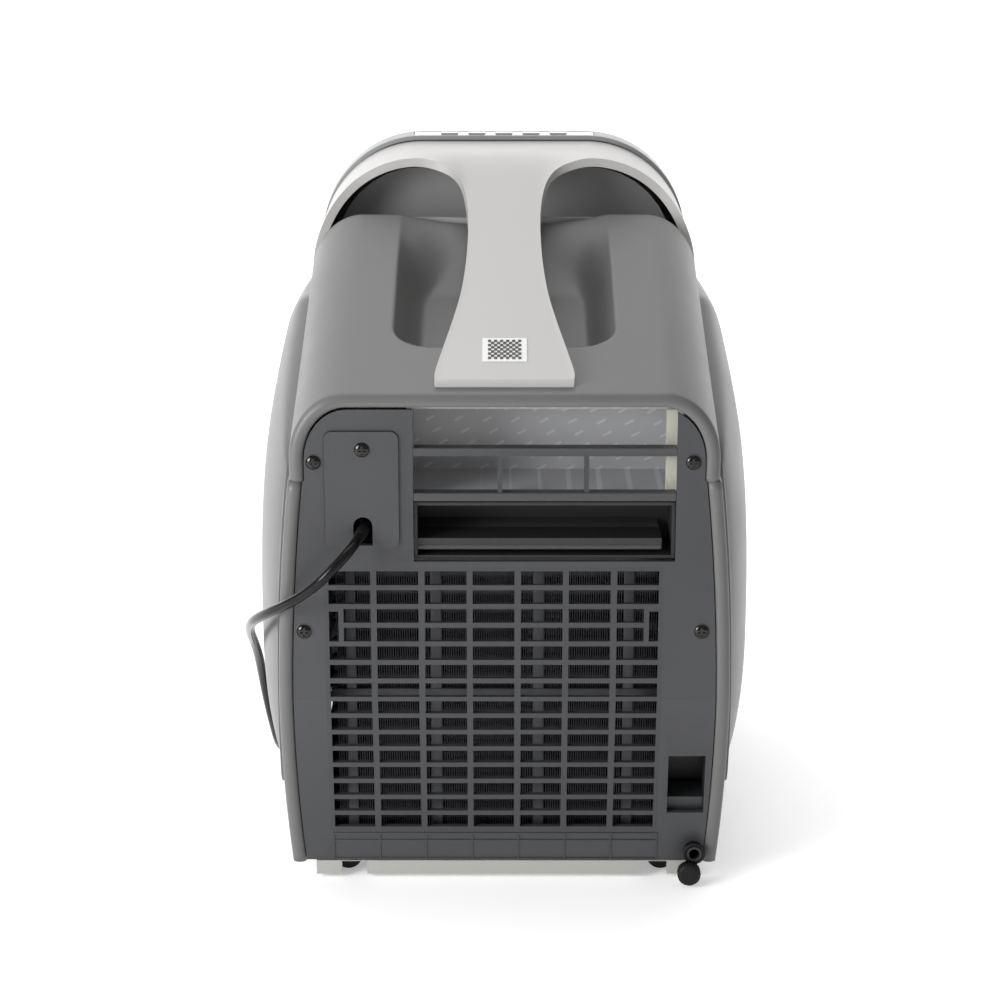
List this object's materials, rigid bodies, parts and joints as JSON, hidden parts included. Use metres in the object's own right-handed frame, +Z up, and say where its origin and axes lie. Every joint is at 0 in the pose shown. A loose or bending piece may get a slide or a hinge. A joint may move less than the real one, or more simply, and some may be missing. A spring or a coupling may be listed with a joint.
{
  "type": "dehumidifier",
  "caption": "Compact free-standing dehumidifier on casters with a hoop handle, rear intake grille, rear air outlet, drain nozzle and mains lead.",
  "frame": {"origin": "middle of the unit's footprint, on the floor under the casters", "axes": "+Z up, +Y to the front of the unit, +X to the side of the drain nozzle; the rear face looks along -Y"},
  "size_m": [0.3376, 0.5156, 0.4466],
  "materials": {
    "shell_grey": "satin textured",
    "cover_grey": "satin textured",
    "panel_dark": "satin textured",
    "liner_dark": "matte",
    "handle_light": "satin",
    "cream_plastic": "satin",
    "label_white": "satin film",
    "display_grey": "gloss",
    "silver_sheet": "brushed",
    "bracket_steel": "brushed",
    "screw_steel": "black zinc",
    "foam_cream": "open foam",
    "fin_metal": "fins",
    "copper": "tube",
    "compressor_black": "enamel",
    "motor_steel": "plated",
    "fan_black": "matte",
    "board_green": "solder mask",
    "rubber_black": "matte",
    "cord_black": "satin",
    "plug_black": "satin"
  },
  "bodies": {
    "housing": {"base_pan": "cream_plastic", "lower_shell": "shell_grey", "upper_shell": "shell_grey", "front_panel": "cover_grey", "side_cover_left": "cover_grey", "side_cover_right": "cover_grey", "handle": "handle_light", "handle_liner": "liner_dark", "handle_label": "label_white", "rear_panel": "panel_dark", "rear_panel_lower": "panel_dark", "intake_grille_upper": "panel_dark", "intake_grille_lower": "panel_dark", "cord_cover": "panel_dark", "panel_screws": "screw_steel", "outlet_grille": "panel_dark", "outlet_duct": "silver_sheet", "outlet_tray": "liner_dark", "foam_seal": "foam_cream", "pocket_liner": "liner_dark", "pocket_bracket": "bracket_steel", "display_panel": "display_grey", "control_board": "board_green", "louver_frame": "liner_dark", "condenser_coil": "fin_metal", "evaporator_coil": "fin_metal", "refrigerant_pipes": "copper", "compressor": "compressor_black", "compressor_feet": "rubber_black", "exhaust_scroll": "motor_steel", "exhaust_motor": "motor_steel", "cool_motor": "motor_steel", "drain_pan": "cream_plastic", "drain_nozzle": "plug_black", "electrics": "motor_steel", "cord_gland": "rubber_black", "power_cord": "cord_black", "cord_coil": "cord_black", "power_plug": "plug_black"},
    "power_button": {"power_button": "display_grey"},
    "mode_button": {"mode_button": "display_grey"},
    "fan_button": {"fan_button": "display_grey"},
    "up_button": {"up_button": "display_grey"},
    "down_button": {"down_button": "display_grey"},
    "louver_1": {"louver_1": "cover_grey"},
    "louver_2": {"louver_2": "cover_grey"},
    "louver_3": {"louver_3": "cover_grey"},
    "louver_4": {"louver_4": "cover_grey"},
    "louver_5": {"louver_5": "cover_grey"},
    "exhaust_wheel": {"exhaust_wheel": "fan_black"},
    "cool_wheel": {"cool_wheel": "fan_black"},
    "drain_cap": {"drain_cap": "rubber_black"},
    "caster_fork_1": {"caster_fork_1": "plug_black"},
    "caster_wheel_1": {"caster_wheel_1": "rubber_black"},
    "caster_fork_2": {"caster_fork_2": "plug_black"},
    "caster_wheel_2": {"caster_wheel_2": "rubber_black"},
    "caster_fork_3": {"caster_fork_3": "plug_black"},
    "caster_wheel_3": {"caster_wheel_3": "rubber_black"},
    "caster_fork_4": {"caster_fork_4": "plug_black"},
    "caster_wheel_4": {"caster_wheel_4": "rubber_black"}
  },
  "joints": [
    {"name": "power_button_press", "type": "slide", "parent": "housing", "child": "power_button", "axis": [0, 0, -1], "range_m": [0, 0.0012], "stiffness_N_per_m": 300, "springref_m": -0.002},
    {"name": "mode_button_press", "type": "slide", "parent": "housing", "child": "mode_button", "axis": [0, 0, -1], "range_m": [0, 0.0012], "stiffness_N_per_m": 300, "springref_m": -0.002},
    {"name": "fan_button_press", "type": "slide", "parent": "housing", "child": "fan_button", "axis": [0, 0, -1], "range_m": [0, 0.0012], "stiffness_N_per_m": 300, "springref_m": -0.002},
    {"name": "up_button_press", "type": "slide", "parent": "housing", "child": "up_button", "axis": [0, 0, -1], "range_m": [0, 0.0012], "stiffness_N_per_m": 300, "springref_m": -0.002},
    {"name": "down_button_press", "type": "slide", "parent": "housing", "child": "down_button", "axis": [0, 0, -1], "range_m": [0, 0.0012], "stiffness_N_per_m": 300, "springref_m": -0.002},
    {"name": "louver_1_tilt", "type": "hinge", "parent": "housing", "child": "louver_1", "pos_m": [0, 0.174, 0.3325], "axis": [1, 0, 0], "range_deg": [-35, 35]},
    {"name": "louver_2_tilt", "type": "hinge", "parent": "housing", "child": "louver_2", "pos_m": [0, 0.174, 0.3475], "axis": [1, 0, 0], "range_deg": [-35, 35]},
    {"name": "louver_3_tilt", "type": "hinge", "parent": "housing", "child": "louver_3", "pos_m": [0, 0.174, 0.3625], "axis": [1, 0, 0], "range_deg": [-35, 35]},
    {"name": "louver_4_tilt", "type": "hinge", "parent": "housing", "child": "louver_4", "pos_m": [0, 0.174, 0.3775], "axis": [1, 0, 0], "range_deg": [-35, 35]},
    {"name": "louver_5_tilt", "type": "hinge", "parent": "housing", "child": "louver_5", "pos_m": [0, 0.174, 0.3925], "axis": [1, 0, 0], "range_deg": [-35, 35]},
    {"name": "exhaust_spin", "type": "hinge", "parent": "housing", "child": "exhaust_wheel", "pos_m": [-0.036, -0.104, 0.15], "axis": [0, 1, 0], "continuous": true},
    {"name": "cool_spin", "type": "hinge", "parent": "housing", "child": "cool_wheel", "pos_m": [0, 0.136, 0.352], "axis": [1, 0, 0], "continuous": true},
    {"name": "drain_cap_swing", "type": "hinge", "parent": "housing", "child": "drain_cap", "pos_m": [0.1245, -0.16885, 0.0215], "axis": [0, 1, 0], "range_deg": [-70, 70]},
    {"name": "caster_1_swivel", "type": "hinge", "parent": "housing", "child": "caster_fork_1", "pos_m": [-0.099, -0.142, 0.02], "axis": [0, 0, 1], "continuous": true},
    {"name": "caster_1_roll", "type": "hinge", "parent": "caster_fork_1", "child": "caster_wheel_1", "pos_m": [-0.104, -0.142, 0.009], "axis": [0, -1, 0], "continuous": true},
    {"name": "caster_2_swivel", "type": "hinge", "parent": "housing", "child": "caster_fork_2", "pos_m": [0.099, -0.142, 0.02], "axis": [0, 0, 1], "continuous": true},
    {"name": "caster_2_roll", "type": "hinge", "parent": "caster_fork_2", "child": "caster_wheel_2", "pos_m": [0.104, -0.142, 0.009], "axis": [0, 1, 0], "continuous": true},
    {"name": "caster_3_swivel", "type": "hinge", "parent": "housing", "child": "caster_fork_3", "pos_m": [-0.099, 0.138, 0.02], "axis": [0, 0, 1], "continuous": true},
    {"name": "caster_3_roll", "type": "hinge", "parent": "caster_fork_3", "child": "caster_wheel_3", "pos_m": [-0.099, 0.143, 0.009], "axis": [-1, 0, 0], "continuous": true},
    {"name": "caster_4_swivel", "type": "hinge", "parent": "housing", "child": "caster_fork_4", "pos_m": [0.099, 0.138, 0.02], "axis": [0, 0, 1], "continuous": true},
    {"name": "caster_4_roll", "type": "hinge", "parent": "caster_fork_4", "child": "caster_wheel_4", "pos_m": [0.099, 0.143, 0.009], "axis": [-1, 0, 0], "continuous": true}
  ],
  "couplings": [
    {"joint": "louver_2_tilt", "follows": "louver_1_tilt", "ratio": 1},
    {"joint": "louver_3_tilt", "follows": "louver_1_tilt", "ratio": 1},
    {"joint": "louver_4_tilt", "follows": "louver_1_tilt", "ratio": 1},
    {"joint": "louver_5_tilt", "follows": "louver_1_tilt", "ratio": 1}
  ]
}
